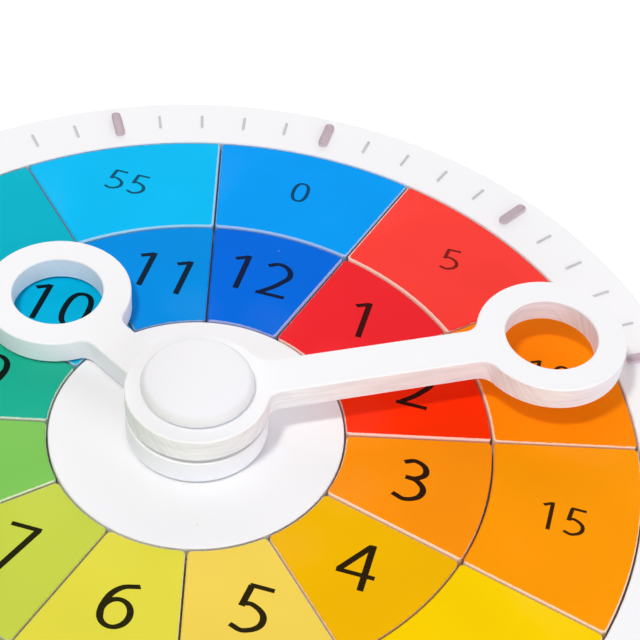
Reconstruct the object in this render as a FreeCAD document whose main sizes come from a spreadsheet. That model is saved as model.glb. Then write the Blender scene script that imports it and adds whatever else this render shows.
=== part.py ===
import FreeCAD, Part
import math
import os

import Sketcher
from FreeCAD import Placement, Rotation, Vector

# A round wooden teaching clock that lies on its back with the dial up.
# Z = 0 is the back of the board, +Z points out of the dial and +Y points to 12 o'clock.

os.makedirs("parts", exist_ok=True)
doc = FreeCAD.newDocument("teaching_clock")

# Driving dimensions in millimetres and degrees

SIZES = [
    ("board_radius", 140.0, "outside of the base board and of the rim"),
    ("base_thickness", 5.0, "plywood of the base board"),
    ("layer_thickness", 5.0, "plywood of the rim, the centre disc and the tiles"),
    ("board_easing", 0.8, "rounding of the rim's outer edge, bevel of the base's"),
    ("layer_easing", 0.3, "bevel of the edges that border the tiles"),
    ("disc_circle", 40.0, "circle between the centre disc and the hour tiles"),
    ("middle_circle", 80.0, "circle between the hour tiles and the minute tiles"),
    ("outer_circle", 120.0, "circle between the minute tiles and the rim"),
    ("tile_gap", 0.6, "play between two neighbouring tiles"),
    ("tile_half_angle", 15.0, "half of the twelfth of a turn that a tile fills"),
    ("tile_corner", 1.3, "rounding of the corners of a tile seen from above"),
    ("tile_easing", 0.35, "bevel round the printed top of a tile"),
    ("hand_thickness", 7.3, "plywood of both hands"),
    ("hand_easing", 0.3, "bevel of the top and bottom edges of the hands"),
    ("hub_radius", 19.1, "hub of both hands"),
    ("arm_width", 11.6, "arm of both hands"),
    ("ring_radius", 20.8, "outside of the ring at the end of a hand"),
    ("window_radius", 12.9, "hole in that ring, which frames a number"),
    ("arm_fillet", 4.5, "inner corners between an arm and its hub or ring"),
    ("hour_reach", 59.2, "pivot to the middle of the hour window"),
    ("minute_reach", 99.2, "pivot to the middle of the minute window"),
    ("hour_turn", 60.5, "hour hand at rest, anticlockwise from 12"),
    ("minute_turn", -60.0, "minute hand at rest, clockwise from 12"),
    ("lower_washer_height", 0.6, "fibre washer under the hour hand"),
    ("middle_washer_height", 1.3, "fibre washer between the hands"),
    ("fibre_washer_radius", 13.0, "outside of both fibre washers"),
    ("barrel_radius", 4.0, "tube that the hands turn on"),
    ("running_radius", 4.05, "bores that turn on the tube or slide over it"),
    ("flange_radius", 9.0, "flange of the tube behind the board"),
    ("flange_thickness", 1.6, "flange of the tube"),
    ("back_recess_radius", 10.0, "recess for the flange in the back of the board"),
    ("back_recess_depth", 2.2, "recess for the flange"),
    ("pocket_radius", 10.0, "pocket for the fixings in the minute hand"),
    ("pocket_depth", 4.2, "pocket for the fixings"),
    ("spring_height", 0.8, "disc spring as fitted"),
    ("spring_sheet", 0.45, "sheet of the disc spring, measured along the axis"),
    ("spring_radius", 7.6, "outside of the disc spring"),
    ("top_washer_radius", 8.0, "steel washer on the disc spring"),
    ("top_washer_height", 1.0, "steel washer"),
    ("screw_head_radius", 7.0, "head of the pivot screw"),
    ("screw_head_height", 1.8, "head of the pivot screw"),
    ("screw_shank_radius", 2.45, "shank of the pivot screw"),
    ("screw_shank_length", 12.0, "shank of the pivot screw"),
    ("screw_bore_radius", 2.5, "bore of the tube for the screw"),
    ("screw_bore_depth", 14.0, "bore of the tube"),
    ("socket_across_flats", 4.0, "hexagon socket of the screw"),
    ("socket_depth", 1.2, "hexagon socket of the screw"),
    ("metal_chamfer", 0.3, "broken edges of the metal parts"),
    ("cap_radius", 14.9, "outside of the domed cap"),
    ("cap_side", 3.4, "height of the cap's side before its edges are rounded"),
    ("cap_height", 6.1, "top of the dome above the minute hand"),
    ("cap_upper_edge", 2.6, "rounding between the side and the dome"),
    ("cap_lower_edge", 1.5, "rounding under the side"),
    ("spigot_radius", 9.95, "spigot of the cap, pressed into the pocket"),
    ("spigot_depth", 1.8, "spigot of the cap"),
    ("cap_hollow_radius", 8.5, "inside of the cap, clear of the screw head"),
    ("cap_hollow_height", 3.4, "inside of the cap above the minute hand"),
]

sheet = doc.addObject("Spreadsheet::Sheet", "sizes")
value = {}
for row, (alias, number, meaning) in enumerate(SIZES, start=1):
    sheet.set("A%d" % row, meaning)
    sheet.set("B%d" % row, "%g" % number)
    sheet.setAlias("B%d" % row, alias)
    value[alias] = number
doc.recompute()

# Heights of the stack above the back of the board, as expressions on the sheet

FACE = "sizes.base_thickness + sizes.layer_thickness"
HOUR_UNDERSIDE = FACE + " + sizes.lower_washer_height"
HOUR_TOP = HOUR_UNDERSIDE + " + sizes.hand_thickness"
MINUTE_UNDERSIDE = HOUR_TOP + " + sizes.middle_washer_height"
MINUTE_TOP = MINUTE_UNDERSIDE + " + sizes.hand_thickness"
POCKET_FLOOR = MINUTE_TOP + " - sizes.pocket_depth"
SPRING_TOP = POCKET_FLOOR + " + sizes.spring_height"
BARREL_TOP = SPRING_TOP + " + sizes.top_washer_height"
FLANGE_TOP = "sizes.back_recess_depth"
FLANGE_BACK = "sizes.back_recess_depth - sizes.flange_thickness"

FULL_TURN = 360.0
TILES_PER_RING = 12
MINUTES_PER_TILE = 5
DEGREES_PER_TILE = FULL_TURN / TILES_PER_RING
HEXAGON_SIDES = 6
SAME_LENGTH = 0.001

# A sketch's own origin and axes, as its constraints name them

ON_ORIGIN = (-1, 1)
HORIZONTAL_AXIS = -1
VERTICAL_AXIS = -2

sub_parts = []


# Helpers for bodies, sketches and features

def new_body(label, height=None, turn=0.0):
    """Start a sub-part whose own Z = 0 lies at the given height, turned about Z."""
    body = doc.addObject("PartDesign::Body", label)
    body.Label = label
    body.Placement = Placement(Vector(0, 0, 0), Rotation(Vector(0, 0, 1), turn))
    if height:
        body.setExpression(".Placement.Base.z", height)
    sub_parts.append(body)
    return body


def origin_plane(body, role):
    for feature in body.Origin.OriginFeatures:
        if feature.Role == role:
            return feature
    raise RuntimeError("no plane " + role)


def new_sketch(body, name, role="XY_Plane", height=None):
    sketch = body.newObject("Sketcher::SketchObject", body.Label + "_" + name)
    sketch.AttachmentSupport = [(origin_plane(body, role), "")]
    sketch.MapMode = "FlatFace"
    if height:
        sketch.setExpression(".AttachmentOffset.Base.z", height)
    return sketch


def bind(sketch, constraint, expression):
    """Add a dimension to a sketch and tie it to the sheet."""
    index = sketch.addConstraint(constraint)
    name = "size_%d" % index
    sketch.renameConstraint(index, name)
    sketch.setExpression("Constraints." + name, expression)


def centred_circle(sketch, radius, expression):
    """A circle about the origin, of a radius that is worked out from the sheet."""
    circle = sketch.addGeometry(Part.Circle(Vector(0, 0, 0), Vector(0, 0, 1), radius))
    sketch.addConstraint(Sketcher.Constraint("Coincident", circle, 3, *ON_ORIGIN))
    bind(sketch, Sketcher.Constraint("Radius", circle, radius), expression)


def named_circle(sketch, alias):
    """A circle about the origin, of a radius that the sheet names."""
    centred_circle(sketch, value[alias], "sizes." + alias)


def circle_on_y(sketch, alias, reach):
    """A circle whose centre lies on the sketch's Y axis, a named distance out."""
    centre = Vector(0, value[reach], 0)
    circle = sketch.addGeometry(Part.Circle(centre, Vector(0, 0, 1), value[alias]))
    sketch.addConstraint(Sketcher.Constraint("PointOnObject", circle, 3, VERTICAL_AXIS))
    distance = Sketcher.Constraint("DistanceY", *ON_ORIGIN, circle, 3, value[reach])
    bind(sketch, distance, "sizes." + reach)
    bind(sketch, Sketcher.Constraint("Radius", circle, value[alias]), "sizes." + alias)


def closed_outline(sketch, corners):
    """Straight lines from corner to corner, level and upright ones held so."""
    lines = []
    for start, end in zip(corners, corners[1:] + corners[:1]):
        line = sketch.addGeometry(Part.LineSegment(Vector(*start, 0), Vector(*end, 0)))
        lines.append(line)
        if start[0] == end[0]:
            sketch.addConstraint(Sketcher.Constraint("Vertical", line))
        elif start[1] == end[1]:
            sketch.addConstraint(Sketcher.Constraint("Horizontal", line))
    for line, following in zip(lines, lines[1:] + lines[:1]):
        sketch.addConstraint(Sketcher.Constraint("Coincident", line, 2, following, 1))
    return lines


def hexagon(sketch, across_flats):
    """A hexagon whose corners lie on a construction circle, one of them on Y."""
    reach = value[across_flats] / 3 ** 0.5
    circle = sketch.addGeometry(Part.Circle(Vector(0, 0, 0), Vector(0, 0, 1), reach), True)
    sketch.addConstraint(Sketcher.Constraint("Coincident", circle, 3, *ON_ORIGIN))
    radius = Sketcher.Constraint("Radius", circle, reach)
    bind(sketch, radius, "sizes.%s / sqrt(3)" % across_flats)
    corners = []
    for side in range(HEXAGON_SIDES):
        turn = Rotation(Vector(0, 0, 1), side * FULL_TURN / HEXAGON_SIDES)
        corners.append(turn.multVec(Vector(0, reach, 0)))
    lines = []
    for start, end in zip(corners, corners[1:] + corners[:1]):
        lines.append(sketch.addGeometry(Part.LineSegment(start, end)))
    for line, following in zip(lines, lines[1:] + lines[:1]):
        sketch.addConstraint(Sketcher.Constraint("Coincident", line, 2, following, 1))
        sketch.addConstraint(Sketcher.Constraint("PointOnObject", line, 1, circle))
    for line in lines[1:]:
        sketch.addConstraint(Sketcher.Constraint("Equal", lines[0], line))
    sketch.addConstraint(Sketcher.Constraint("PointOnObject", lines[0], 1, VERTICAL_AXIS))


def pad(body, sketch, length, downward=False):
    feature = body.newObject("PartDesign::Pad", sketch.Label + "_pad")
    feature.Profile = sketch
    feature.Reversed = downward
    feature.setExpression("Length", length)
    sketch.Visibility = False
    doc.recompute()
    return feature


def pocket(body, sketch, depth=None, upward=False):
    """Cut a sketch out of a body, to a depth or right through it."""
    before = body.Shape.Volume
    feature = body.newObject("PartDesign::Pocket", sketch.Label + "_pocket")
    feature.Profile = sketch
    feature.Reversed = upward
    if depth:
        feature.setExpression("Length", depth)
    else:
        feature.Type = "ThroughAll"
    doc.recompute()
    if body.Shape.Volume >= before:
        raise RuntimeError(sketch.Label + " cuts nothing")
    return feature


def dress(body, kind, size_property, name, edges, alias):
    """Fillet or chamfer the edges that a test picks from the body so far."""
    base = body.Tip
    chosen = []
    for number, edge in enumerate(base.Shape.Edges, start=1):
        if edges(edge):
            chosen.append("Edge%d" % number)
    if not chosen:
        raise RuntimeError(name + " finds no edges")
    feature = body.newObject(kind, body.Label + "_" + name)
    feature.Base = (base, chosen)
    feature.setExpression(size_property, "sizes." + alias)
    doc.recompute()
    return feature


def round_edges(body, name, edges, alias):
    return dress(body, "PartDesign::Fillet", "Radius", name, edges, alias)


def bevel_edges(body, name, edges, alias):
    return dress(body, "PartDesign::Chamfer", "Size", name, edges, alias)


def is_near(first, second):
    return abs(first - second) < SAME_LENGTH


def level_at(edge, height):
    """True for an edge that lies flat at the given height in its body."""
    box = edge.BoundBox
    return is_near(box.ZMin, height) and is_near(box.ZMax, height)


def is_circle(edge, alias):
    return hasattr(edge.Curve, "Radius") and is_near(edge.Curve.Radius, value[alias])


def is_upright(edge):
    """True for a straight edge that runs along Z, between two vertices."""
    if len(edge.Vertexes) != 2:
        return False
    run = edge.Vertexes[1].Point - edge.Vertexes[0].Point
    return is_near(run.x, 0.0) and is_near(run.y, 0.0)


def round_plate(label, outer, thickness, height=None, hole=None):
    """A flat disc or ring: base board, rim, centre disc and washers."""
    body = new_body(label, height)
    sketch = new_sketch(body, "outline")
    named_circle(sketch, outer)
    if hole:
        named_circle(sketch, hole)
    pad(body, sketch, "sizes." + thickness)
    return body


def bore(body, name, alias, depth=None, height=None, upward=False):
    sketch = new_sketch(body, name, height=height)
    named_circle(sketch, alias)
    pocket(body, sketch, depth, upward)


# Board: base, rim and centre disc, glued together

def make_base_board():
    body = round_plate("base_board", "board_radius", "base_thickness")
    bore(body, "bore", "running_radius", upward=True)
    bore(body, "recess", "back_recess_radius", "sizes.back_recess_depth", upward=True)

    def back_edge(edge):
        return level_at(edge, 0.0) and is_circle(edge, "board_radius")

    bevel_edges(body, "easing", back_edge, "board_easing")


def make_rim_ring():
    body = new_body("rim_ring", "sizes.base_thickness")
    sketch = new_sketch(body, "outline")
    named_circle(sketch, "board_radius")
    inner = value["outer_circle"] + value["tile_gap"] / 2
    centred_circle(sketch, inner, "sizes.outer_circle + sizes.tile_gap / 2")
    pad(body, sketch, "sizes.layer_thickness")

    def top_outer_edge(edge):
        return level_at(edge, value["layer_thickness"]) and is_circle(edge, "board_radius")

    def top_inner_edge(edge):
        return level_at(edge, value["layer_thickness"]) and is_near(edge.Curve.Radius, inner)

    round_edges(body, "outer_easing", top_outer_edge, "board_easing")
    bevel_edges(body, "inner_easing", top_inner_edge, "layer_easing")


def make_centre_disc():
    body = new_body("centre_disc", "sizes.base_thickness")
    sketch = new_sketch(body, "outline")
    radius = value["disc_circle"] - value["tile_gap"] / 2
    centred_circle(sketch, radius, "sizes.disc_circle - sizes.tile_gap / 2")
    named_circle(sketch, "running_radius")
    pad(body, sketch, "sizes.layer_thickness")

    def top_edge(edge):
        return level_at(edge, value["layer_thickness"]) and is_near(edge.Curve.Radius, radius)

    bevel_edges(body, "easing", top_edge, "layer_easing")


# Tiles: twelve for the hours and twelve for the minutes, loose in the board

def tile_outline(sketch, inner_circle, outer_circle):
    """A twelfth of a ring about the Y axis, half a gap small all round."""
    half_gap = value["tile_gap"] / 2
    inner = value[inner_circle] + half_gap
    outer = value[outer_circle] - half_gap
    side = Rotation(Vector(0, 0, 1), -value["tile_half_angle"])

    def side_point(radius):
        along = (radius ** 2 - half_gap ** 2) ** 0.5
        return side.multVec(Vector(-half_gap, along, 0))

    def mirrored(point):
        return Vector(-point.x, point.y, 0)

    near = side_point(inner)
    far = side_point(outer)
    top = Vector(0, outer, 0)
    bottom = Vector(0, inner, 0)
    shapes = [
        Part.Arc(far, top, mirrored(far)),
        Part.LineSegment(mirrored(far), mirrored(near)),
        Part.Arc(near, bottom, mirrored(near)),
        Part.LineSegment(near, far),
    ]
    outer_arc, left, inner_arc, right = [sketch.addGeometry(shape) for shape in shapes]
    for arc, radius, size in [
        (outer_arc, outer, "sizes.%s - sizes.tile_gap / 2" % outer_circle),
        (inner_arc, inner, "sizes.%s + sizes.tile_gap / 2" % inner_circle),
    ]:
        sketch.addConstraint(Sketcher.Constraint("Coincident", arc, 3, *ON_ORIGIN))
        bind(sketch, Sketcher.Constraint("Radius", arc, radius), size)
    # The arcs run anticlockwise, so each starts at its right end.
    for first, second in [
        ((outer_arc, 1), (right, 2)),
        ((outer_arc, 2), (left, 1)),
        ((inner_arc, 2), (left, 2)),
        ((inner_arc, 1), (right, 1)),
    ]:
        sketch.addConstraint(Sketcher.Constraint("Coincident", *first, *second))
    lean = 90.0 - value["tile_half_angle"]
    for line, angle, size in [
        (right, lean, "(90 - sizes.tile_half_angle) * 1 deg"),
        (left, -lean, "(sizes.tile_half_angle - 90) * 1 deg"),
    ]:
        distance = Sketcher.Constraint("Distance", *ON_ORIGIN, line, half_gap)
        bind(sketch, distance, "sizes.tile_gap / 2")
        bind(sketch, Sketcher.Constraint("Angle", line, math.radians(angle)), size)


def make_tile(label, inner_circle, outer_circle, position):
    turn = -DEGREES_PER_TILE * position
    body = new_body(label, "sizes.base_thickness", turn)
    sketch = new_sketch(body, "outline")
    tile_outline(sketch, inner_circle, outer_circle)
    pad(body, sketch, "sizes.layer_thickness")

    def top_edge(edge):
        return level_at(edge, value["layer_thickness"])

    round_edges(body, "corners", is_upright, "tile_corner")
    bevel_edges(body, "easing", top_edge, "tile_easing")


def make_tiles():
    for hour in range(1, TILES_PER_RING + 1):
        make_tile("hour_tile_%d" % hour, "disc_circle", "middle_circle", hour)
    for position in range(TILES_PER_RING):
        minute = MINUTES_PER_TILE * position
        make_tile("minute_tile_%02d" % minute, "middle_circle", "outer_circle", position)


# Hands: one piece of plywood each, with a hub, an arm and a ring round a window

def make_hand(label, reach, height, turn):
    body = new_body(label, height, value[turn])

    hub = new_sketch(body, "hub")
    named_circle(hub, "hub_radius")
    pad(body, hub, "sizes.hand_thickness")

    half_width = value["arm_width"] / 2
    arm = new_sketch(body, "arm")
    corners = [
        (half_width, 0.0),
        (half_width, value[reach]),
        (-half_width, value[reach]),
        (-half_width, 0.0),
    ]
    right, _, _, near = closed_outline(arm, corners)
    arm.addConstraint(Sketcher.Constraint("Symmetric", near, 1, near, 2, *ON_ORIGIN))
    width = Sketcher.Constraint("Distance", near, value["arm_width"])
    bind(arm, width, "sizes.arm_width")
    length = Sketcher.Constraint("Distance", right, value[reach])
    bind(arm, length, "sizes." + reach)
    pad(body, arm, "sizes.hand_thickness")

    ring = new_sketch(body, "ring")
    circle_on_y(ring, "ring_radius", reach)
    pad(body, ring, "sizes.hand_thickness")

    round_edges(body, "inner_corners", is_upright, "arm_fillet")

    window = new_sketch(body, "window")
    circle_on_y(window, "window_radius", reach)
    pocket(body, window, upward=True)

    def outer_edge(edge):
        at_bottom = level_at(edge, 0.0)
        at_top = level_at(edge, value["hand_thickness"])
        return at_bottom or at_top

    bevel_edges(body, "easing", outer_edge, "hand_easing")
    bore(body, "bore", "running_radius", upward=True)
    return body


def make_hands():
    make_hand("hour_hand", "hour_reach", HOUR_UNDERSIDE, "hour_turn")
    minute_hand = make_hand("minute_hand", "minute_reach", MINUTE_UNDERSIDE, "minute_turn")
    bore(minute_hand, "pocket", "pocket_radius", "sizes.pocket_depth",
         height="sizes.hand_thickness")


# Pivot: a flanged tube from the back, a screw from the front, and washers

def make_fibre_washer(label, thickness, height):
    round_plate(label, "fibre_washer_radius", thickness, height, hole="running_radius")


def make_top_washer():
    body = round_plate("top_washer", "top_washer_radius", "top_washer_height",
                       SPRING_TOP, hole="running_radius")

    def outer_edge(edge):
        return is_circle(edge, "top_washer_radius")

    bevel_edges(body, "broken_edges", outer_edge, "metal_chamfer")


def make_disc_spring():
    """A shallow cone of sheet steel, which sets how stiffly the hands turn."""
    body = new_body("disc_spring", POCKET_FLOOR)
    sketch = new_sketch(body, "section", role="XZ_Plane")
    inner = value["running_radius"]
    outer = value["spring_radius"]
    sheet_height = value["spring_sheet"]
    top = value["spring_height"]
    corners = [(outer, 0.0), (outer, sheet_height), (inner, top), (inner, top - sheet_height)]
    rim, _, eye, _ = closed_outline(sketch, corners)
    sketch.addConstraint(Sketcher.Constraint("PointOnObject", rim, 1, HORIZONTAL_AXIS))
    sketch.addConstraint(Sketcher.Constraint("Equal", rim, eye))
    for constraint, size in [
        (Sketcher.Constraint("DistanceX", *ON_ORIGIN, rim, 1, outer), "spring_radius"),
        (Sketcher.Constraint("DistanceX", *ON_ORIGIN, eye, 1, inner), "running_radius"),
        (Sketcher.Constraint("Distance", rim, sheet_height), "spring_sheet"),
        (Sketcher.Constraint("DistanceY", *ON_ORIGIN, eye, 1, top), "spring_height"),
    ]:
        bind(sketch, constraint, "sizes." + size)
    turned = body.newObject("PartDesign::Revolution", "disc_spring_turned")
    turned.Profile = sketch
    turned.ReferenceAxis = (sketch, ["V_Axis"])
    turned.Angle = FULL_TURN
    doc.recompute()


def make_pivot_barrel():
    body = round_plate("pivot_barrel", "flange_radius", "flange_thickness", FLANGE_BACK)
    tube = new_sketch(body, "tube", height="sizes.flange_thickness")
    named_circle(tube, "barrel_radius")
    tube_length = "(%s) - (%s)" % (BARREL_TOP, FLANGE_TOP)
    pad(body, tube, tube_length)
    top = "sizes.flange_thickness + " + tube_length
    bore(body, "screw_bore", "screw_bore_radius", "sizes.screw_bore_depth", height=top)

    def flange_edge(edge):
        return is_circle(edge, "flange_radius")

    bevel_edges(body, "broken_edges", flange_edge, "metal_chamfer")


def make_pivot_screw():
    body = round_plate("pivot_screw", "screw_head_radius", "screw_head_height", BARREL_TOP)
    shank = new_sketch(body, "shank")
    named_circle(shank, "screw_shank_radius")
    pad(body, shank, "sizes.screw_shank_length", downward=True)

    socket = new_sketch(body, "socket", height="sizes.screw_head_height")
    hexagon(socket, "socket_across_flats")
    pocket(body, socket, "sizes.socket_depth")

    def head_edge(edge):
        at_top = level_at(edge, value["screw_head_height"])
        return at_top and is_circle(edge, "screw_head_radius")

    bevel_edges(body, "broken_edges", head_edge, "metal_chamfer")


def make_hub_cap():
    """A hollow domed button with fully rounded sides, pressed into the pocket."""
    body = new_body("hub_cap", MINUTE_TOP)
    sketch = new_sketch(body, "section", role="XZ_Plane")
    radius = value["cap_radius"]
    side = value["cap_side"]
    height = value["cap_height"]
    hollow = value["cap_hollow_radius"]
    ceiling = value["cap_hollow_height"]
    spigot = value["spigot_radius"]
    depth = value["spigot_depth"]
    corners = [
        (0.0, height),
        (0.0, ceiling),
        (hollow, ceiling),
        (hollow, -depth),
        (spigot, -depth),
        (spigot, 0.0),
        (radius, 0.0),
        (radius, side),
    ]
    lines = []
    for start, end in zip(corners, corners[1:]):
        line = sketch.addGeometry(Part.LineSegment(Vector(*start, 0), Vector(*end, 0)))
        upright = start[0] == end[0]
        direction = "Vertical" if upright else "Horizontal"
        sketch.addConstraint(Sketcher.Constraint(direction, line))
        lines.append(line)
    for line, following in zip(lines, lines[1:]):
        sketch.addConstraint(Sketcher.Constraint("Coincident", line, 2, following, 1))
    axis, hollow_top, hollow_side, spigot_end, spigot_side, underside, outside = lines
    # The crown is an arc about a point on the axis, through the top and the side.
    rise = height - side
    crown = (radius ** 2 + rise ** 2) / (2 * rise)
    centre = Vector(0, height - crown, 0)
    side_end = Vector(radius, side, 0)
    top_end = Vector(0, height, 0)
    chord_middle = (side_end + top_end) / 2
    middle = centre + (chord_middle - centre).normalize() * crown
    arc = sketch.addGeometry(Part.Arc(side_end, middle, top_end))
    sketch.addConstraint(Sketcher.Constraint("Coincident", arc, 1, outside, 2))
    sketch.addConstraint(Sketcher.Constraint("Coincident", arc, 2, axis, 1))
    sketch.addConstraint(Sketcher.Constraint("PointOnObject", arc, 3, VERTICAL_AXIS))
    sketch.addConstraint(Sketcher.Constraint("PointOnObject", axis, 1, VERTICAL_AXIS))
    sketch.addConstraint(Sketcher.Constraint("PointOnObject", underside, 1, HORIZONTAL_AXIS))
    for kind, place, length, size in [
        ("DistanceY", (*ON_ORIGIN, axis, 1), height, "cap_height"),
        ("DistanceY", (*ON_ORIGIN, hollow_top, 1), ceiling, "cap_hollow_height"),
        ("DistanceX", (*ON_ORIGIN, hollow_side, 1), hollow, "cap_hollow_radius"),
        ("DistanceX", (*ON_ORIGIN, spigot_end, 2), spigot, "spigot_radius"),
        ("Distance", (spigot_side,), depth, "spigot_depth"),
        ("DistanceX", (*ON_ORIGIN, outside, 1), radius, "cap_radius"),
        ("Distance", (outside,), side, "cap_side"),
    ]:
        constraint = Sketcher.Constraint(kind, *place, length)
        bind(sketch, constraint, "sizes." + size)
    turned = body.newObject("PartDesign::Revolution", "hub_cap_turned")
    turned.Profile = sketch
    turned.ReferenceAxis = (sketch, ["V_Axis"])
    turned.Angle = FULL_TURN
    doc.recompute()

    def upper_edge(edge):
        return level_at(edge, side) and is_circle(edge, "cap_radius")

    def lower_edge(edge):
        return level_at(edge, 0.0) and is_circle(edge, "cap_radius")

    round_edges(body, "upper_edge", upper_edge, "cap_upper_edge")
    round_edges(body, "lower_edge", lower_edge, "cap_lower_edge")


make_base_board()
make_rim_ring()
make_centre_disc()
make_tiles()
make_hands()
make_fibre_washer("lower_washer", "lower_washer_height", FACE)
make_fibre_washer("middle_washer", "middle_washer_height", HOUR_TOP)
make_disc_spring()
make_top_washer()
make_pivot_barrel()
make_pivot_screw()
make_hub_cap()
doc.recompute()

# Check the whole document before anything is written

for item in doc.Objects:
    if "Invalid" in item.State or "Error" in item.State:
        raise RuntimeError("%s failed: %s" % (item.Label, item.State))
for body in sub_parts:
    if body.Shape.isNull() or not body.Shape.isValid():
        raise RuntimeError(body.Label + " has no valid shape")
    if len(body.Shape.Solids) != 1:
        raise RuntimeError(body.Label + " is not one solid")
for body in sub_parts:
    body.Shape.exportStep("parts/%s.step" % body.Label)
print("%d sub-parts written" % len(sub_parts))
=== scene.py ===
import math

import bpy
from mathutils import Matrix, Vector


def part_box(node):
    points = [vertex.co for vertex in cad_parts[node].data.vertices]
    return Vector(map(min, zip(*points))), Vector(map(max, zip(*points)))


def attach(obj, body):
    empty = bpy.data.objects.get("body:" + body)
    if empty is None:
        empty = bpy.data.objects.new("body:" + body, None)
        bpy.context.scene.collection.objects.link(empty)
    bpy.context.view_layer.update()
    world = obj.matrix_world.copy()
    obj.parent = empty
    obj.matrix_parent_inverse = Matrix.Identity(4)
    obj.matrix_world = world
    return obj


# A wooden teaching clock that lies face up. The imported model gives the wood, the pivot and
# their places. This script prints the dial, finishes every surface and lights the table.

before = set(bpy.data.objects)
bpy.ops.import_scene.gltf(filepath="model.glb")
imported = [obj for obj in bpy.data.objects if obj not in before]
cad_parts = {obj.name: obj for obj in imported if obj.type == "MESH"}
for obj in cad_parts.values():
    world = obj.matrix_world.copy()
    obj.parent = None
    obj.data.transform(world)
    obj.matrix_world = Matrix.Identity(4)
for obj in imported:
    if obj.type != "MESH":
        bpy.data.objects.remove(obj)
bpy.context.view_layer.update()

# Sizes on the dial, in millimetres

MM = 0.001
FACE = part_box("rim_ring")[1].z / MM
DISC_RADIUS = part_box("centre_disc")[1].x / MM
HOUR_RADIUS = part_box("hour_tile_12")[1].y / MM
MINUTE_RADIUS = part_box("minute_tile_00")[1].y / MM
TILE_GAP = 0.6
TILE_CORNER = 1.3
HALF_TILE = math.radians(15)
HOURS_PER_TURN = 12
MINUTES_PER_TURN = 60

# How much of its colour a tile's bare edge took up, which is more where the print is blue

EDGE_STAIN = 0.34
BLUE_EDGE_STAIN = 0.62
BLUE_HOURS = (10, 11, 12)
BLUE_MINUTES = (50, 55, 0)

# Printed colours: blue at the top, then red, orange, yellow and green, and back to blue

HOUR_PRINTS = {
    1: "#F22830", 2: "#FA3002", 3: "#FC920E", 4: "#F1B602", 5: "#F3D456", 6: "#E3DB46",
    7: "#C7D44B", 8: "#7FC65A", 9: "#1FB092", 10: "#03B9E3", 11: "#028FE4", 12: "#016ADF",
}
MINUTE_PRINTS = {
    0: "#029DF6", 5: "#FD423A", 10: "#FF8A04", 15: "#FD9A06", 20: "#F9D001", 25: "#F4E338",
    30: "#D0DA2C", 35: "#84C63E", 40: "#34B452", 45: "#18B08C", 50: "#0AB6CC", 55: "#0ABEF6",
}

# Black ink that lets a little of each print through it, most of it in the thin minute numbers

BLACK_INK = "#0C0806"
HOUR_INK_SHARE = 0.99
MINUTE_INK_SHARE = 0.965
FADED_HOURS = {1: 0.955, 2: 0.975, 11: 0.955, 12: 0.94}
FADED_MINUTES = {0: 0.83, 5: 0.8, 55: 0.83}

WHITE_PAINT = "#F3F3F4"
SAWN_PAINT = "#F1F2F6"
SAWN_SHADE = "#DADCE2"
BARE_BIRCH = "#FCF5E4"
PALE_SPECK = "#F3E9E4"
GREY_SPECK = "#BDB8B6"
BOLD_TICK_INK = "#CBBBC2"
FINE_TICK_INK = "#D0D0D3"


# Nodes and materials. A Mix node's sockets share their names, so they go by number.

SHARE = 0
NUMBER_A = 2
NUMBER_B = 3
COLOUR_A = 6
COLOUR_B = 7
MIXED_COLOUR = 2

FULL_BYTE = 255
SRGB_TOE = 0.04045
SRGB_TOE_SLOPE = 12.92
SRGB_OFFSET = 0.055
SRGB_POWER = 2.4


def linear(code):
    """An sRGB hex colour as linear RGBA."""
    channels = [int(code[i:i + 2], 16) / FULL_BYTE for i in (1, 3, 5)]
    return (
        *(
            c / SRGB_TOE_SLOPE
            if c <= SRGB_TOE
            else ((c + SRGB_OFFSET) / (1 + SRGB_OFFSET)) ** SRGB_POWER
            for c in channels
        ),
        1.0,
    )


def mixed(first, second, share):
    """Two sRGB hex colours as one, with a share of the second."""
    pairs = zip(linear(first), linear(second))
    return tuple((1 - share) * a + share * b for a, b in pairs)


def add_node(material, kind, sockets=(), **settings):
    """Add a node, set its properties, and give each named socket a value or a link."""
    node = material.node_tree.nodes.new(kind)
    for name, setting in settings.items():
        setattr(node, name, setting)
    for socket, given in dict(sockets).items():
        if isinstance(given, bpy.types.NodeSocket):
            material.node_tree.links.new(given, node.inputs[socket])
        else:
            node.inputs[socket].default_value = given
    return node


def start_material(name):
    """A new material with no nodes yet."""
    material = bpy.data.materials.new(name)
    material.use_nodes = True
    material.node_tree.nodes.clear()
    return material


def finish_material(material, sockets):
    """Give the material its shader, with these sockets set."""
    shader = add_node(material, "ShaderNodeBsdfPrincipled", sockets)
    add_node(material, "ShaderNodeOutputMaterial", {"Surface": shader.outputs[0]})
    return material


def pattern_place(material, grain=(1, 1, 1), lean=0.0, shift=(0, 0)):
    """A piece's own coordinates, counted in grains of a size in millimetres.

    Lean is how far the piece points away from 12, anticlockwise: it turns the grain with it.
    Shift is how far the whole pattern lies off its place, in millimetres on the dial.
    """
    place = add_node(material, "ShaderNodeTexCoord")
    mapped = add_node(
        material,
        "ShaderNodeMapping",
        {
            "Vector": place.outputs["Object"],
            "Location": (shift[0] * MM, shift[1] * MM, 0),
            "Rotation": (0, 0, lean),
            "Scale": [MM * size for size in grain],
        },
        vector_type="TEXTURE",
    )
    return mapped.outputs[0]


# The part of a speck that is fully dust, before it thins out to its edge

SPECK_CORE = 0.6


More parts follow.
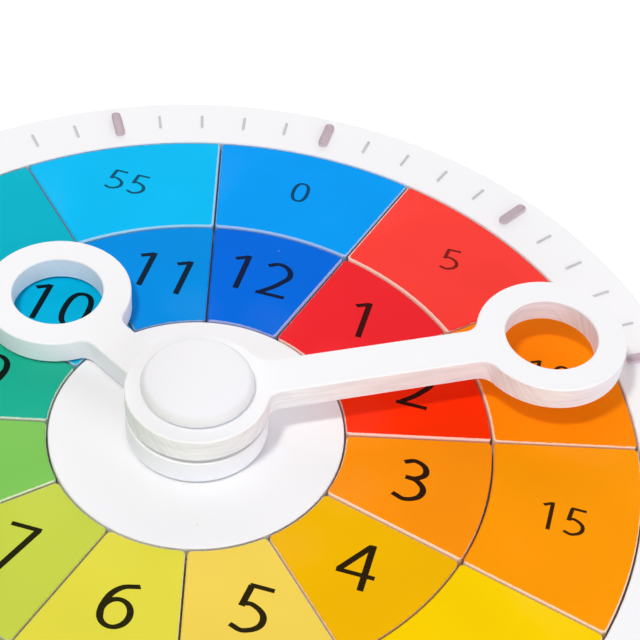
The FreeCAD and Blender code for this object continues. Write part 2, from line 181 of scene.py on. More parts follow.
def dust(material, spacing, radius, share):
    """Specks of a radius in millimetres, on a share of the cells of a spacing: 1 on a speck."""
    cells = add_node(
        material,
        "ShaderNodeTexVoronoi",
        {"Vector": pattern_place(material), "Scale": 1 / spacing},
    )
    speck = add_node(
        material,
        "ShaderNodeMapRange",
        {
            "Value": cells.outputs["Distance"],
            "From Min": radius / spacing,
            "From Max": SPECK_CORE * radius / spacing,
        },
    )
    lot = add_node(material, "ShaderNodeSeparateColor", {0: cells.outputs["Color"]})
    drawn = add_node(
        material, "ShaderNodeMath", {0: lot.outputs[0], 1: share}, operation="LESS_THAN"
    )
    shown = add_node(
        material, "ShaderNodeMath", {0: drawn.outputs[0], 1: speck.outputs[0]}, operation="MULTIPLY"
    )
    return shown.outputs[0]


# White paint: sizes in millimetres, and how clearly the wood comes through it. A tilt goes
# by the surface normal's upward part, which is 1 on top and 0 on an upright side.

FELT_GRAIN = (0.7, 14, 5)
FELT_DETAIL = 3.0
BOARD_DUST = {"spacing": 9.0, "radius": 0.2, "share": 0.2}
PLY_WAVES = (11, 11, 1.2)
PLY_DETAIL = 3.0
PLY_WANDER = 0.5
PLY_CONTRAST = 0.5
PLY_LIFT = 0.29
SAW_SLANT = 0.5
SAW_STREAKS = {"Scale": 0.9, "Detail": 2.0, "Roughness": 0.7}
END_GRAIN_FALL = 2.0
WOOD_SHOWS = {"From Min": 0.36, "From Max": 0.62}
SIDE_TILT = {"From Min": 0.6, "From Max": 0.2}
FACE_RELIEF = 0.006
SIDE_RELIEF = 0.03
SATIN_ROUGHNESS = 0.5
SATIN_SHINE = 0.2


def sprayed_birch(name, lean=0.0, show=1.0):
    """Satin white paint sprayed on birch plywood.

    The faces are smooth, with the grain just felt and a little dust. On the sawn sides the
    plies show as level lines, and the end grain as slanted streaks from the saw. Show is how
    much of them the paint leaves to see.
    """
    material = start_material(name)
    grain = add_node(
        material,
        "ShaderNodeTexNoise",
        {
            "Vector": pattern_place(material, FELT_GRAIN, lean),
            "Scale": 1.0,
            "Detail": FELT_DETAIL,
        },
    )
    face = add_node(
        material,
        "ShaderNodeMix",
        {
            SHARE: dust(material, **BOARD_DUST),
            COLOUR_A: linear(WHITE_PAINT),
            COLOUR_B: linear(GREY_SPECK),
        },
        data_type="RGBA",
    )
    plies = add_node(
        material,
        "ShaderNodeTexNoise",
        {
            "Vector": pattern_place(material, PLY_WAVES, lean),
            "Scale": 1.0,
            "Detail": PLY_DETAIL,
            "Distortion": PLY_WANDER,
        },
    )
    piece = add_node(material, "ShaderNodeSeparateXYZ", {0: pattern_place(material, lean=lean)})
    slant = add_node(
        material,
        "ShaderNodeMath",
        {0: piece.outputs["Z"], 1: SAW_SLANT, 2: piece.outputs["X"]},
        operation="MULTIPLY_ADD",
    )
    streaks = add_node(
        material,
        "ShaderNodeTexNoise",
        {"W": slant.outputs[0], **SAW_STREAKS},
        noise_dimensions="1D",
    )
    facing = add_node(material, "ShaderNodeTexCoord")
    turned = add_node(
        material,
        "ShaderNodeMapping",
        {"Vector": facing.outputs["Normal"], "Rotation": (0, 0, lean)},
        vector_type="TEXTURE",
    )
    normal = add_node(material, "ShaderNodeSeparateXYZ", {0: turned.outputs[0]})
    end_grain = add_node(
        material,
        "ShaderNodeMath",
        {0: normal.outputs["Y"], 1: END_GRAIN_FALL},
        operation="POWER",
    )
    faint_plies = add_node(
        material,
        "ShaderNodeMath",
        {0: plies.outputs[0], 1: PLY_CONTRAST, 2: PLY_LIFT},
        operation="MULTIPLY_ADD",
    )
    sawn = add_node(
        material,
        "ShaderNodeMix",
        {SHARE: end_grain.outputs[0], NUMBER_A: faint_plies.outputs[0], NUMBER_B: streaks.outputs[0]},
    )
    clear = add_node(
        material,
        "ShaderNodeMapRange",
        {"Value": sawn.outputs[0], **WOOD_SHOWS, "To Min": 1 - show},
    )
    side = add_node(
        material,
        "ShaderNodeMix",
        {SHARE: clear.outputs[0], COLOUR_A: linear(SAWN_SHADE), COLOUR_B: linear(SAWN_PAINT)},
        data_type="RGBA",
    )
    upright = add_node(material, "ShaderNodeMath", {0: normal.outputs["Z"]}, operation="ABSOLUTE")
    on_side = add_node(
        material,
        "ShaderNodeMapRange",
        {"Value": upright.outputs[0], **SIDE_TILT},
    )
    colour = add_node(
        material,
        "ShaderNodeMix",
        {
            SHARE: on_side.outputs[0],
            COLOUR_A: face.outputs[MIXED_COLOUR],
            COLOUR_B: side.outputs[MIXED_COLOUR],
        },
        data_type="RGBA",
    )
    height = add_node(
        material,
        "ShaderNodeMix",
        {SHARE: on_side.outputs[0], NUMBER_A: grain.outputs[0], NUMBER_B: clear.outputs[0]},
    )
    depth = add_node(
        material,
        "ShaderNodeMapRange",
        {"Value": on_side.outputs[0], "To Min": FACE_RELIEF * MM, "To Max": SIDE_RELIEF * MM},
    )
    relief = add_node(
        material,
        "ShaderNodeBump",
        {"Height": height.outputs[0], "Distance": depth.outputs[0], "Strength": 1.0},
    )
    return finish_material(
        material,
        {
            "Base Color": colour.outputs[MIXED_COLOUR],
            "Normal": relief.outputs[0],
            "Roughness": SATIN_ROUGHNESS,
            "Specular IOR Level": SATIN_SHINE,
        },
    )


# The print: sizes in millimetres, and how evenly the colour lies

PRINT_RAGGED = {"Scale": 0.8, "Detail": 5.0}
PRINT_RAGGED_REACH = 0.4
PRINT_FADES = {"From Min": 0.2, "From Max": 0.36}
TOP_TILT = {"From Min": 0.3, "From Max": 0.6}
PRINT_GRAIN = (0.8, 30, 5)
PRINT_GRAIN_DETAIL = 3.0
PRINT_CLOUDS = {"Scale": 0.03, "Detail": 1.0}
DEPTH_CLOUDS = {"From Min": 0.35, "From Max": 0.6}
THIN_DEPTH = 0.95
RUBBED_CLOUDS = {"From Min": 0.55, "From Max": 0.8, "To Max": 0.02}
TILE_DUST = {"spacing": 7.0, "radius": 0.15, "share": 0.16}
PRINT_RELIEF = 0.01
PRINT_ROUGHNESS = 0.5
PRINT_SHINE = 0.02


def printed_birch(name, print_colour, stain, edges, lean, shift):
    """Birch plywood with a matt water-based print on its top.

    The print lies a little off the tile, so that the sanded edge on one side is pale wood,
    stained by the colour. Stain is how much of the colour it took, edges are the tile's inner
    and outer radius, lean is its place on the dial and shift how far the print is off.
    """
    material = start_material(name)
    inner, outer = edges
    place = pattern_place(material, lean=lean, shift=shift)
    flat = add_node(
        material, "ShaderNodeVectorMath", {0: place, 1: (1, 1, 0)}, operation="MULTIPLY"
    )
    radius = add_node(material, "ShaderNodeVectorMath", {0: flat.outputs[0]}, operation="LENGTH")
    piece = add_node(material, "ShaderNodeSeparateXYZ", {0: place})
    off_middle = add_node(material, "ShaderNodeMath", {0: piece.outputs["X"]}, operation="ABSOLUTE")
    half_width = add_node(
        material,
        "ShaderNodeMath",
        {0: piece.outputs["Y"], 1: math.sin(HALF_TILE), 2: -TILE_GAP / 2},
        operation="MULTIPLY_ADD",
    )
    to_side = add_node(
        material,
        "ShaderNodeMath",
        {0: off_middle.outputs[0], 1: -math.cos(HALF_TILE), 2: half_width.outputs[0]},
        operation="MULTIPLY_ADD",
    )
    to_inner = add_node(
        material, "ShaderNodeMath", {0: radius.outputs["Value"], 1: inner}, operation="SUBTRACT"
    )
    to_outer = add_node(
        material, "ShaderNodeMath", {0: outer, 1: radius.outputs["Value"]}, operation="SUBTRACT"
    )
    to_arc = add_node(
        material,
        "ShaderNodeMath",
        {0: to_inner.outputs[0], 1: to_outer.outputs[0]},
        operation="MINIMUM",
    )
    to_edge = add_node(
        material,
        "ShaderNodeMath",
        {0: to_arc.outputs[0], 1: to_side.outputs[0], 2: TILE_CORNER},
        operation="SMOOTH_MIN",
    )
    ragged = add_node(material, "ShaderNodeTexNoise", {"Vector": place, **PRINT_RAGGED})
    print_edge = add_node(
        material,
        "ShaderNodeMath",
        {0: ragged.outputs[0], 1: PRINT_RAGGED_REACH, 2: to_edge.outputs[0]},
        operation="MULTIPLY_ADD",
    )
    in_print = add_node(
        material,
        "ShaderNodeMapRange",
        {"Value": print_edge.outputs[0], **PRINT_FADES},
    )
    facing = add_node(material, "ShaderNodeTexCoord")
    normal = add_node(material, "ShaderNodeSeparateXYZ", {0: facing.outputs["Normal"]})
    on_top = add_node(
        material,
        "ShaderNodeMapRange",
        {"Value": normal.outputs["Z"], **TOP_TILT},
    )
    printed = add_node(
        material,
        "ShaderNodeMath",
        {0: in_print.outputs[0], 1: on_top.outputs[0]},
        operation="MULTIPLY",
    )
    grain = add_node(
        material,
        "ShaderNodeTexNoise",
        {
            "Vector": pattern_place(material, PRINT_GRAIN),
            "Scale": 1.0,
            "Detail": PRINT_GRAIN_DETAIL,
        },
    )
    clouds = add_node(material, "ShaderNodeTexNoise", {"Vector": place, **PRINT_CLOUDS})
    depth = add_node(
        material,
        "ShaderNodeMapRange",
        {"Value": clouds.outputs[0], **DEPTH_CLOUDS},
    )
    cover = add_node(
        material,
        "ShaderNodeMix",
        {
            SHARE: depth.outputs[0],
            COLOUR_A: mixed("#000000", print_colour, THIN_DEPTH),
            COLOUR_B: linear(print_colour),
        },
        data_type="RGBA",
    )
    rubbed = add_node(
        material,
        "ShaderNodeMapRange",
        {"Value": clouds.outputs[0], **RUBBED_CLOUDS},
    )
    uneven = add_node(
        material,
        "ShaderNodeMix",
        {
            SHARE: rubbed.outputs[0],
            COLOUR_A: cover.outputs[MIXED_COLOUR],
            COLOUR_B: linear(WHITE_PAINT),
        },
        data_type="RGBA",
    )
    dusted = add_node(
        material,
        "ShaderNodeMix",
        {
            SHARE: dust(material, **TILE_DUST),
            COLOUR_A: uneven.outputs[MIXED_COLOUR],
            COLOUR_B: linear(PALE_SPECK),
        },
        data_type="RGBA",
    )
    colour = add_node(
        material,
        "ShaderNodeMix",
        {
            SHARE: printed.outputs[0],
            COLOUR_A: mixed(BARE_BIRCH, print_colour, stain),
            COLOUR_B: dusted.outputs[MIXED_COLOUR],
        },
        data_type="RGBA",
    )
    relief = add_node(
        material,
        "ShaderNodeBump",
        {"Height": grain.outputs[0], "Distance": PRINT_RELIEF * MM, "Strength": 1.0},
    )
    return finish_material(
        material,
        {
            "Base Color": colour.outputs[MIXED_COLOUR],
            "Normal": relief.outputs[0],
            "Roughness": PRINT_ROUGHNESS,
            "Specular IOR Level": PRINT_SHINE,
        },
    )


# Ink, and how much its cover varies to both sides

INK_MOTTLE = {"Scale": 1.4, "Detail": 4.0}
INK_VARIES = 0.03
INK_ROUGHNESS = 0.6
INK_SHINE = 0.03


def screen_ink(name, ink, ground, share):
    """Screen ink, a thin matt film on a coloured ground that shows where it is thinner."""
    material = start_material(name)
    mottle = add_node(
        material,
        "ShaderNodeTexNoise",
        {"Vector": pattern_place(material), **INK_MOTTLE},
    )
    cover = add_node(
        material,
        "ShaderNodeMix",
        {
            SHARE: mottle.outputs[0],
            COLOUR_A: mixed(ground, ink, share - INK_VARIES),
            COLOUR_B: mixed(ground, ink, share + INK_VARIES),
        },
        data_type="RGBA",
    )
    return finish_material(
        material,
        {
            "Base Color": cover.outputs[MIXED_COLOUR],
            "Roughness": INK_ROUGHNESS,
            "Specular IOR Level": INK_SHINE,
        },
    )


# Plastic, with the tilt over which the face turns into the side that is painted darker as shade

MOULD_TEXTURE = {"Scale": 5.0, "Detail": 2.0}
MOULD_SHADE_TILT = {"From Min": 0.99, "From Max": 0.72}
MOULD_RELIEF = 0.004
MOULD_SHINE = 0.25


def moulded_plastic(name, lit, dim, side, roughness):
    """Injection-moulded plastic: an even colour with the mould's fine texture.

    The side that turns down from the face is given a darker colour: painted shade on the sloping edge.
    """
    material = start_material(name)
    texture = add_node(
        material,
        "ShaderNodeTexNoise",
        {"Vector": pattern_place(material), **MOULD_TEXTURE},
    )
    colour = add_node(
        material,
        "ShaderNodeMix",
        {SHARE: texture.outputs[0], COLOUR_A: linear(dim), COLOUR_B: linear(lit)},
        data_type="RGBA",
    )
    facing = add_node(material, "ShaderNodeTexCoord")
    normal = add_node(material, "ShaderNodeSeparateXYZ", {0: facing.outputs["Normal"]})
    on_side = add_node(
        material,
        "ShaderNodeMapRange",
        {"Value": normal.outputs["Z"], **MOULD_SHADE_TILT},
    )
    # Painted shade: where the surface turns down, the face's colour gives way to the darker side colour.
    painted_edge_shade = add_node(
        material,
        "ShaderNodeMix",
        {SHARE: on_side.outputs[0], COLOUR_A: colour.outputs[MIXED_COLOUR], COLOUR_B: linear(side)},
        data_type="RGBA",
    )
    relief = add_node(
        material,
        "ShaderNodeBump",
        {"Height": texture.outputs[0], "Distance": MOULD_RELIEF * MM, "Strength": 1.0},
    )
    return finish_material(
        material,
        {
            "Base Color": painted_edge_shade.outputs[MIXED_COLOUR],
            "Normal": relief.outputs[0],
            "Roughness": roughness,
            "Specular IOR Level": MOULD_SHINE,
        },
    )


# Steel, with the rings' depth in millimetres

LATHE_RINGS = {"Scale": 1.2, "Distortion": 0.6, "Detail": 2.0}
LATHE_RELIEF = 0.01


def turned_steel(name, bright, dull, roughness):
    """Turned steel: metal with the fine rings that the lathe leaves about the pivot."""
    material = start_material(name)
    rings = add_node(
        material,
        "ShaderNodeTexWave",
        {"Vector": pattern_place(material), **LATHE_RINGS},
        wave_type="RINGS",
        rings_direction="Z",
    )
    colour = add_node(
        material,
        "ShaderNodeMix",
        {SHARE: rings.outputs["Fac"], COLOUR_A: linear(dull), COLOUR_B: linear(bright)},
        data_type="RGBA",
    )
    relief = add_node(
        material,
        "ShaderNodeBump",
        {"Height": rings.outputs["Fac"], "Distance": LATHE_RELIEF * MM, "Strength": 1.0},
    )
    return finish_material(
        material,
        {
            "Base Color": colour.outputs[MIXED_COLOUR],
            "Normal": relief.outputs[0],
            "Metallic": 1.0,
            "Roughness": roughness,
        },
    )


# Pieces

def deselect_all():
    """Leave nothing selected, before an operator selects what it makes."""
    bpy.ops.object.select_all(action="DESELECT")


def finish_node(node, material):
    """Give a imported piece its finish."""
    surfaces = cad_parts[node].data.materials
    surfaces.clear()
    surfaces.append(material)


def finish_print(pieces, name, material):
    """Join printed shapes into one named piece on the board."""
    deselect_all()
    for piece in pieces:
        piece.select_set(True)
    bpy.context.view_layer.objects.active = pieces[0]
    if len(pieces) > 1:
        bpy.ops.object.join()
    whole = pieces[0]
    whole.name = name
    whole.data.name = name
    whole.data.materials.clear()
    whole.data.materials.append(material)
    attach(whole, "board")


def ring_place(radius, turns):
    """A point on a circle of the dial, at a share of a turn clockwise from 12."""
    angle = math.tau * turns
    return Vector((radius * math.sin(angle), radius * math.cos(angle), 0))


# Digits, drawn with a broad pen that leaves stems thicker than level strokes. Each is one
# unit tall. A stroke is a list of the points it passes, and is straight when it has two.

STEM = 0.12
BAR = 0.088
DIGIT_STEP = 0.79
CURVE_STEPS = 14
INK_DEPTH = 0.03
WELD = 0.0005
STRAIGHT = 2

DIGITS = {
    "0": [[(0.395, 0.956), (0.155, 0.5), (0.395, 0.044), (0.635, 0.5), (0.395, 0.956)]],
    "1": [[(0.443, 0.0), (0.443, 1.0)], [(0.195, 0.838), (0.455, 0.972)]],
    "2": [
        [(0.105, 0.85), (0.36, 0.956), (0.612, 0.735), (0.47, 0.40), (0.15, 0.05)],
        [(0.072, 0.044), (0.675, 0.044)],
    ],
    "3": [
        [(0.135, 0.88), (0.36, 0.956), (0.578, 0.755), (0.45, 0.575), (0.235, 0.545)],
        [(0.235, 0.545), (0.48, 0.495), (0.615, 0.275), (0.365, 0.044), (0.085, 0.11)],
    ],
    "4": [
        [(0.53, 0.0), (0.53, 1.0)],
        [(0.505, 0.97), (0.06, 0.335)],
        [(0.02, 0.322), (0.715, 0.322)],
    ],
    "5": [
        [(0.19, 0.954), (0.628, 0.954)],
        [(0.225, 0.954), (0.172, 0.5)],
        [(0.16, 0.555), (0.36, 0.575), (0.612, 0.31), (0.36, 0.044), (0.09, 0.095)],
    ],
    "6": [
        [(0.635, 0.95), (0.31, 0.81), (0.15, 0.42), (0.19, 0.16)],
        [(0.41, 0.6), (0.152, 0.34), (0.395, 0.044), (0.66, 0.32), (0.41, 0.6)],
    ],
    "7": [[(0.105, 0.954), (0.672, 0.954)], [(0.618, 0.945), (0.255, 0.0)]],
    "8": [
        [(0.395, 0.956), (0.17, 0.765), (0.395, 0.545), (0.62, 0.765), (0.395, 0.956)],
        [(0.395, 0.545), (0.135, 0.28), (0.395, 0.044), (0.655, 0.28), (0.395, 0.545)],
    ],
}


def pen_stroke(points):
    """One stroke of the pen, a thin flat bar of the nib's width along its points."""
    deselect_all()
    bpy.ops.curve.primitive_bezier_curve_add()
    spline = bpy.context.object.data.splines[0]
    spline.resolution_u = CURVE_STEPS
    spline.use_cyclic_u = points[0] == points[-1]
    knots = points[:-1] if spline.use_cyclic_u else points
    spline.bezier_points.add(len(knots) - len(spline.bezier_points))
    handles = "VECTOR" if len(knots) == STRAIGHT else "AUTO"
    for knot, (x, y) in zip(spline.bezier_points, knots):
        knot.co = (x, y, 0)
        knot.handle_left_type = handles
        knot.handle_right_type = handles
    bpy.ops.object.convert(target="MESH")
    stroke = bpy.context.object
    # Counted in widths of the nib, every part of the stroke is one wide.
    stroke.data.transform(Matrix.Diagonal((1 / STEM, 1 / BAR, 1, 1)))
    bpy.ops.object.mode_set(mode="EDIT")
    bpy.ops.mesh.select_all(action="SELECT")
    bpy.ops.mesh.extrude_region_move(TRANSFORM_OT_translate={"value": (0, 0, INK_DEPTH)})
    bpy.ops.object.mode_set(mode="OBJECT")
    width = stroke.modifiers.new("width", "SOLIDIFY")
    width.thickness = 1.0
    width.offset = 0.0
    width.use_even_offset = True
    bpy.ops.object.modifier_apply(modifier=width.name)
    stroke.data.transform(Matrix.Diagonal((STEM, BAR, 1, 1)))
    return stroke


def draw_digit(strokes):
    """A digit's mesh, its strokes fused into one thin solid."""
    first, *others = [pen_stroke(points) for points in strokes]
    deselect_all()
    bpy.context.view_layer.objects.active = first
    for other in others:
        fuse = first.modifiers.new("fuse", "BOOLEAN")
        fuse.operation = "UNION"
        fuse.solver = "EXACT"
        fuse.object = other
        bpy.ops.object.modifier_apply(modifier=fuse.name)
        bpy.data.objects.remove(other)
    bpy.ops.object.mode_set(mode="EDIT")
    bpy.ops.mesh.select_all(action="SELECT")
    bpy.ops.mesh.remove_doubles(threshold=WELD)
    bpy.ops.mesh.normals_make_consistent(inside=False)
    bpy.ops.object.mode_set(mode="OBJECT")
    mesh = first.data
    bpy.data.objects.remove(first)
    return mesh


digit_meshes = {digit: draw_digit(strokes) for digit, strokes in DIGITS.items()}
upside_down = Matrix.Translation((DIGIT_STEP, 1, 0)) @ Matrix.Rotation(math.pi, 4, "Z")
digit_meshes["9"] = digit_meshes["6"].copy()
digit_meshes["9"].transform(upside_down)


def print_number(name, text, height, centre, material):
    """A printed number, upright on the dial, with the middle of its ink on the centre."""
    digits = []
    for place, digit in enumerate(text):
        mesh = digit_meshes[digit].copy()
        mesh.transform(Matrix.Translation((place * DIGIT_STEP, 0, 0)))
        piece = bpy.data.objects.new(name, mesh)
        bpy.context.scene.collection.objects.link(piece)
        digits.append(piece)
    inked = [vertex.co for piece in digits for vertex in piece.data.vertices]
    middle = [(min(p[axis] for p in inked) + max(p[axis] for p in inked)) / 2 for axis in (0, 1)]
    # Half of the ink's depth lies in the print below it.
    to_middle = Matrix.Translation((-middle[0], -middle[1], -INK_DEPTH / 2))
    size = Matrix.Diagonal((height * MM, height * MM, MM, 1))
    to_place = Matrix.Translation((centre + Vector((0, 0, FACE))) * MM)
    for piece in digits:
        piece.data.transform(to_place @ size @ to_middle)
    finish_print(digits, name, material)


# The dial

# The numbers' heights, the circles that they stand on, and how far the whole print lies off

HOUR_HEIGHT = 14.4
MINUTE_HEIGHT = 9.2
HOUR_NUMBER_RADIUS = 60.2
MINUTE_NUMBER_RADIUS = 101.0
PRINT_SHIFT = Vector((0, 0.8, 0))

# How far the numbers that were printed out of true sit from their places

HOUR_STRAYS = {
    1: (0.9, 1.0), 2: (1.1, 2.2), 3: (-0.7, 0.0), 4: (0.5, -0.8), 5: (1.3, 0.8), 11: (0.5, 0.5),
    12: (-1.3, 0.5),
}
MINUTE_STRAYS = {
    0: (-0.3, -0.4), 5: (0.6, -1.2), 10: (0.35, -1.2), 15: (-1.0, 0.0), 55: (-2.2, -0.3),
}

# How far each tile's colour was printed off it, which leaves a pale edge on the other side

USUAL_PRINT_SHIFT = (-0.1, 0.25)
HOUR_PRINT_SHIFTS = {
    1: (0.1, 0.2), 2: (-0.1, 0.5), 3: (0.1, 0.4), 4: (0.1, -0.1), 5: (0.0, -0.2), 6: (0.0, -0.2),
    7: (0.2, -0.1), 11: (0.1, 0.1), 12: (-0.5, 0.2),
}
MINUTE_PRINT_SHIFTS = {
    0: (-0.1, 0.6), 5: (0.5, 0.4), 10: (0.3, 0.3), 15: (-0.2, 0.35), 55: (-0.6, 0.3),
}


def print_ring(
    ring, code, per_turn, prints, edges, height, radius, share, faded, blues, strays, shifts
):
    """Finish a ring's tiles and print their numbers, each with its middle on its place.

    Edges are the tiles' inner and outer radius, height and radius are the numbers', and share
    is how much of the ink covers. Faded, blues, strays and shifts name the tiles that differ.
    """
    for number, colour in prints.items():
        label = code % number
        turns = number / per_turn
        tile_print = printed_birch(
            "%s_print_%s" % (ring, label),
            colour,
            BLUE_EDGE_STAIN if number in blues else EDGE_STAIN,
            edges,
            -math.tau * turns,
            shifts.get(number, USUAL_PRINT_SHIFT),
        )
        finish_node("%s_tile_%s" % (ring, label), tile_print)
        ink = screen_ink(
            "%s_ink_%s" % (ring, label), BLACK_INK, colour, faded.get(number, share)
        )
        stray = Vector((*strays.get(number, (0, 0)), 0))
        centre = ring_place(radius, turns) + PRINT_SHIFT + stray
        print_number("%s_number_%s" % (ring, label), str(number), height, centre, ink)


print_ring(
    ring="hour",
    code="%d",
    per_turn=HOURS_PER_TURN,
    prints=HOUR_PRINTS,
    edges=(DISC_RADIUS + TILE_GAP, HOUR_RADIUS),
    height=HOUR_HEIGHT,
    radius=HOUR_NUMBER_RADIUS,
    share=HOUR_INK_SHARE,
    faded=FADED_HOURS,
    blues=BLUE_HOURS,
    strays=HOUR_STRAYS,
    shifts=HOUR_PRINT_SHIFTS,
)
print_ring(
    ring="minute",
    code="%02d",
    per_turn=MINUTES_PER_TURN,
    prints=MINUTE_PRINTS,
    edges=(HOUR_RADIUS + TILE_GAP, MINUTE_RADIUS),
    height=MINUTE_HEIGHT,
    radius=MINUTE_NUMBER_RADIUS,
    share=MINUTE_INK_SHARE,
    faded=FADED_MINUTES,
    blues=BLUE_MINUTES,
    strays=MINUTE_STRAYS,
    shifts=MINUTE_PRINT_SHIFTS,
)

# Ticks on the rim: a fine one for each minute, a bold one for every fifth

FINE_TICK = {"width": 0.75, "low": 127.3, "high": 133.4}
BOLD_TICK = {"width": 2.8, "low": 125.0, "high": 135.8}
TICK_INK_SHARE = 0.96
TICK_ROUNDNESS = 0.45
TICK_CORNER_STEPS = 5


def draw_tick(width, low, high):
    """A printed tick at 12 o'clock: a thin bar with rounded ends."""
    deselect_all()
    bpy.ops.mesh.primitive_cube_add(size=1)
    tick = bpy.context.object
    tick.data.transform(Matrix.Diagonal((width, high - low, INK_DEPTH, 1)))
    for edge in tick.data.edges:
        first, second = [tick.data.vertices[v].co for v in edge.vertices]
        edge.select = (first.xy - second.xy).length < INK_DEPTH
    bpy.ops.object.mode_set(mode="EDIT")
    bpy.ops.mesh.select_mode(type="EDGE")
    bpy.ops.mesh.bevel(offset=TICK_ROUNDNESS * width, segments=TICK_CORNER_STEPS)
    bpy.ops.object.mode_set(mode="OBJECT")
    tick.data.transform(Matrix.Translation((0, (low + high) / 2, FACE)))
    tick.data.transform(Matrix.Diagonal((MM, MM, MM, 1)))
    mesh = tick.data
    bpy.data.objects.remove(tick)
    return mesh


def print_ticks(name, shape, minutes, ink):
    """Print one kind of tick at each of the minutes. Ink is its name and colour."""
    mesh = draw_tick(**shape)
    ticks = []
    for minute in minutes:
        turn = Matrix.Rotation(-math.tau * minute / MINUTES_PER_TURN, 4, "Z")
        tick = bpy.data.objects.new(name, mesh.copy())
        tick.data.transform(turn)
        bpy.context.scene.collection.objects.link(tick)
        ticks.append(tick)
    finish_print(ticks, name, screen_ink(*ink, WHITE_PAINT, TICK_INK_SHARE))


all_minutes = set(range(MINUTES_PER_TURN))
bold_minutes = set(MINUTE_PRINTS)
fine_minutes = sorted(all_minutes - bold_minutes)
print_ticks("minute_ticks", FINE_TICK, fine_minutes, ("grey_ink", FINE_TICK_INK))
print_ticks("five_minute_ticks", BOLD_TICK, sorted(bold_minutes), ("mauve_ink", BOLD_TICK_INK))

# Wood, plastic and metal

# A lean turns the grain along its hand, and the shows say how well the wood comes through.

HOUR_HAND_LEAN = math.radians(60.5)
MINUTE_HAND_LEAN = math.radians(-60.0)
BOARD_SHOW = 0.5
HOUR_HAND_SHOW = 0.15
PLASTIC_ROUGHNESS = 0.55
ZINC_ROUGHNESS = 0.3
SPRING_ROUGHNESS = 0.35

board_paint = sprayed_birch("satin_white_on_birch", show=BOARD_SHOW)
for node in ("base_board", "rim_ring", "centre_disc"):
    finish_node(node, board_paint)
hour_hand_paint = sprayed_birch("satin_white_on_hour_hand", HOUR_HAND_LEAN, HOUR_HAND_SHOW)
finish_node("hour_hand", hour_hand_paint)
finish_node("minute_hand", sprayed_birch("satin_white_on_minute_hand", MINUTE_HAND_LEAN))
# In both plastics the last colour is painted shade, on the side that turns down from the face.
cap_plastic = moulded_plastic(
    "moulded_white_plastic", "#EFEFF1", "#EDEDEF", "#E6E6E8", PLASTIC_ROUGHNESS
)
finish_node("hub_cap", cap_plastic)
nylon = moulded_plastic("punched_nylon", "#D8D6CE", "#CFCDC4", "#CAC8C0", PLASTIC_ROUGHNESS)
for node in ("lower_washer", "middle_washer"):
    finish_node(node, nylon)
zinc = turned_steel("bright_zinc_on_turned_steel", "#BDBFC2", "#A5A7AA", ZINC_ROUGHNESS)
for node in ("pivot_barrel", "pivot_screw", "top_washer"):
    finish_node(node, zinc)
spring_steel = turned_steel("oiled_spring_steel", "#7C7C80", "#68686C", SPRING_ROUGHNESS)
finish_node("disc_spring", spring_steel)

# Table, in metres: past the lamps' reach more white is added for the camera alone

TABLE_SIZE = 6.0
TABLE_COLOUR = "#F2F2F2"
TABLE_ROUGHNESS = 0.8
LAMP_REACH = {"From Min": 0.35, "From Max": 1.0}
WHITENING = {"To Min": 0.2, "To Max": 0.8}


def make_table():
    """A white table that keeps the clock's shadow and stays white where the lamps don't reach."""
    deselect_all()
    bpy.ops.mesh.primitive_plane_add(size=TABLE_SIZE)
    table = bpy.context.object
    table.name = "table_top"
    material = start_material("white_laminate")
    rays = add_node(material, "ShaderNodeLightPath")
    place = add_node(material, "ShaderNodeTexCoord")
    from_clock = add_node(
        material, "ShaderNodeVectorMath", {0: place.outputs["Object"]}, operation="LENGTH"
    )
    whitening = add_node(
        material,
        "ShaderNodeMapRange",
        {"Value": from_clock.outputs["Value"], **LAMP_REACH, **WHITENING},
    )
    seen = add_node(
        material,
        "ShaderNodeMath",
        {0: rays.outputs["Is Camera Ray"], 1: whitening.outputs[0]},
        operation="MULTIPLY",
    )
    finish_material(
        material,
        {
            "Base Color": linear(TABLE_COLOUR),
            "Roughness": TABLE_ROUGHNESS,
            "Emission Color": linear("#FFFFFF"),
            "Emission Strength": seen.outputs[0],
        },
    )
    table.data.materials.append(material)


make_table()

# Lights: softboxes and cards round the table, each with its angle anticlockwise from 3
# o'clock, angle above the table, distance and size in metres, watts and tint

LIGHT_AIM = Vector((0.02, 0.0, 0.01))
LIGHTS = [
    ("main_softbox", 236.0, 69.0, 1.1, 0.13, 5.25, "#FFFDF6"),
    ("left_softbox", 215.0, 50.0, 1.1, 0.5, 0.8, "#FFFFFF"),
    ("right_card", 314.0, 17.0, 1.1, 0.9, 7.2, "#EDF4FF"),
    ("far_right_card", 25.0, 26.0, 1.1, 0.9, 1.7, "#FFFFFF"),
    ("back_card", 90.0, 22.0, 1.1, 0.9, 3.6, "#FFFFFF"),
    ("back_left_card", 135.0, 22.0, 1.1, 0.9, 2.1, "#FFFFFF"),
]


def make_lights():
    """Hang the lamps round the clock, out of the camera's sight and turned towards it."""
    for name, around, above, distance, size, watts, tint in LIGHTS:
        around = math.radians(around)
        above = math.radians(above)
        level = distance * math.cos(above)
        offset = Vector((level * math.cos(around), level * math.sin(around), distance * math.sin(above)))
        deselect_all()
        bpy.ops.object.light_add(type="AREA", location=LIGHT_AIM + offset)
        light = bpy.context.object
        light.name = name
        light.data.size = size
        light.data.energy = watts
        light.data.color = linear(tint)[:3]
        light.rotation_euler = (-offset).to_track_quat("-Z", "Y").to_euler()
        light.visible_camera = False


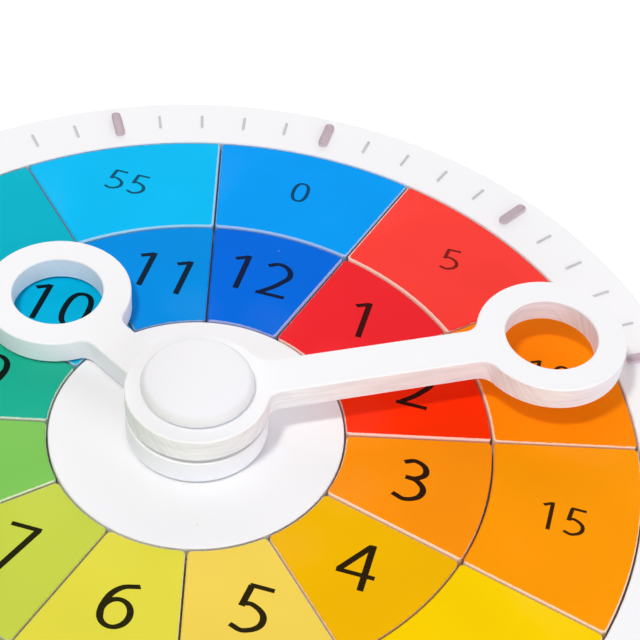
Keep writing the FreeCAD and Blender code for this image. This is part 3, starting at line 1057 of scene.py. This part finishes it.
make_lights()

ROOM_LIGHT = 0.27
ROOM_TINT = "#FCF6FF"


def make_room():
    """An even white room, plain white where it is seen itself or in a reflection."""
    room = bpy.data.worlds.new("white_room")
    bpy.context.scene.world = room
    room.use_nodes = True
    room.node_tree.nodes.clear()
    rays = add_node(room, "ShaderNodeLightPath")
    seen = rays.outputs["Is Camera Ray"]
    for other in ("Is Glossy Ray", "Is Transmission Ray"):
        either = add_node(
            room, "ShaderNodeMath", {0: seen, 1: rays.outputs[other]}, operation="MAXIMUM"
        )
        seen = either.outputs[0]
    strength = add_node(
        room, "ShaderNodeMapRange", {"Value": seen, "To Min": ROOM_LIGHT, "To Max": 1.0}
    )
    colour = add_node(
        room,
        "ShaderNodeMix",
        {SHARE: seen, COLOUR_A: linear(ROOM_TINT), COLOUR_B: linear("#FFFFFF")},
        data_type="RGBA",
    )
    walls = add_node(
        room,
        "ShaderNodeBackground",
        {"Color": colour.outputs[MIXED_COLOUR], "Strength": strength.outputs[0]},
    )
    add_node(room, "ShaderNodeOutputWorld", {"Surface": walls.outputs[0]})


make_room()

# Camera: a long lens from over the 5 o'clock side, tipped a little anticlockwise

CAMERA_PLACE = Vector((0.0870, -0.2613, 0.3356))
CAMERA_FORWARD = Vector((-0.1460, 0.6830, -0.7150))
CAMERA_RIGHT = Vector((0.9613, 0.2689, 0.0604))
CAMERA_LENS = 88.66
CAMERA_NEAR = 0.01


def make_camera():
    """Set the camera where the dial's circles and joints say that the photograph's was."""
    bpy.ops.object.camera_add()
    camera = bpy.context.object
    camera.name = "photo_camera"
    back = -CAMERA_FORWARD.normalized()
    upward = back.cross(CAMERA_RIGHT).normalized()
    across = upward.cross(back)
    turn = Matrix((across, upward, back)).transposed().to_4x4()
    camera.matrix_world = Matrix.Translation(CAMERA_PLACE) @ turn
    camera.data.lens = CAMERA_LENS
    camera.data.clip_start = CAMERA_NEAR
    bpy.context.scene.camera = camera


make_camera()
bpy.context.scene.view_settings.view_transform = "Standard"
